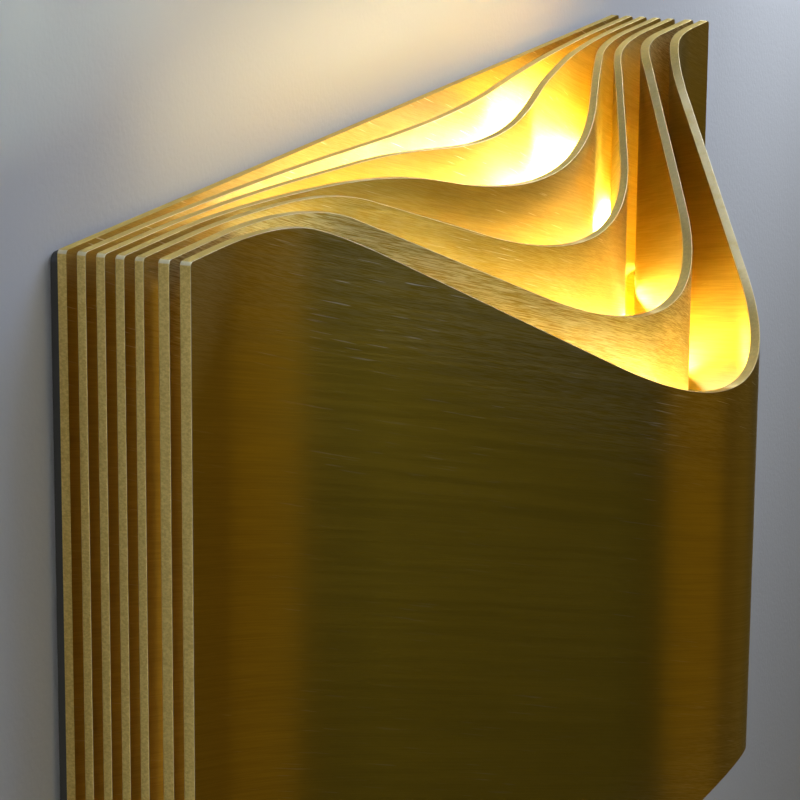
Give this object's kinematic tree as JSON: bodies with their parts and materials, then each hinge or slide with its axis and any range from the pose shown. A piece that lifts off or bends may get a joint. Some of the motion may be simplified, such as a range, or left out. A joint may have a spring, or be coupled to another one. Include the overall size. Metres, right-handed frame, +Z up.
{
  "type": "wall light",
  "caption": "Up and down wall light of nested bent brass sheets with glowing channels between them, hung on a flat wall plate.",
  "frame": {"origin": "centre of the wall plate's back, on the wall", "axes": "+X along the wall to the right for someone facing the lamp, +Y into the wall, +Z up; the lamp stands out towards -Y"},
  "size_m": [0.325, 0.0868, 0.2],
  "materials": {
    "brushed_brass": "brushed along the width, lacquered",
    "black_steel": "matt black powder coat",
    "zinc_steel": "zinc plated",
    "led_board": "white solder resist",
    "silicone": "milky silicone, lit warm white",
    "black_rubber": "matt"
  },
  "bodies": {
    "root": {"cable_grommet": "black_rubber", "clamp_screws": "zinc_steel", "fixing_strip_left": "brushed_brass", "fixing_strip_right": "brushed_brass", "led_boards_1": "led_board", "led_boards_2": "led_board", "led_boards_3": "led_board", "led_boards_4": "led_board", "led_boards_5": "led_board", "led_boards_6": "led_board", "led_covers_1": "silicone", "led_covers_2": "silicone", "led_covers_3": "silicone", "led_covers_4": "silicone", "led_covers_5": "silicone", "led_covers_6": "silicone", "sheet_1": "brushed_brass", "sheet_2": "brushed_brass", "sheet_3": "brushed_brass", "sheet_4": "brushed_brass", "sheet_5": "brushed_brass", "sheet_6": "brushed_brass", "sheet_7": "brushed_brass", "spacer_left_1": "brushed_brass", "spacer_left_2": "brushed_brass", "spacer_left_3": "brushed_brass", "spacer_left_4": "brushed_brass", "spacer_left_5": "brushed_brass", "spacer_right_1": "brushed_brass", "spacer_right_2": "brushed_brass", "spacer_right_3": "brushed_brass", "spacer_right_4": "brushed_brass", "spacer_right_5": "brushed_brass", "threaded_strip_left": "brushed_brass", "threaded_strip_right": "brushed_brass", "wall_plate": "black_steel"}
  },
  "joints": []
}
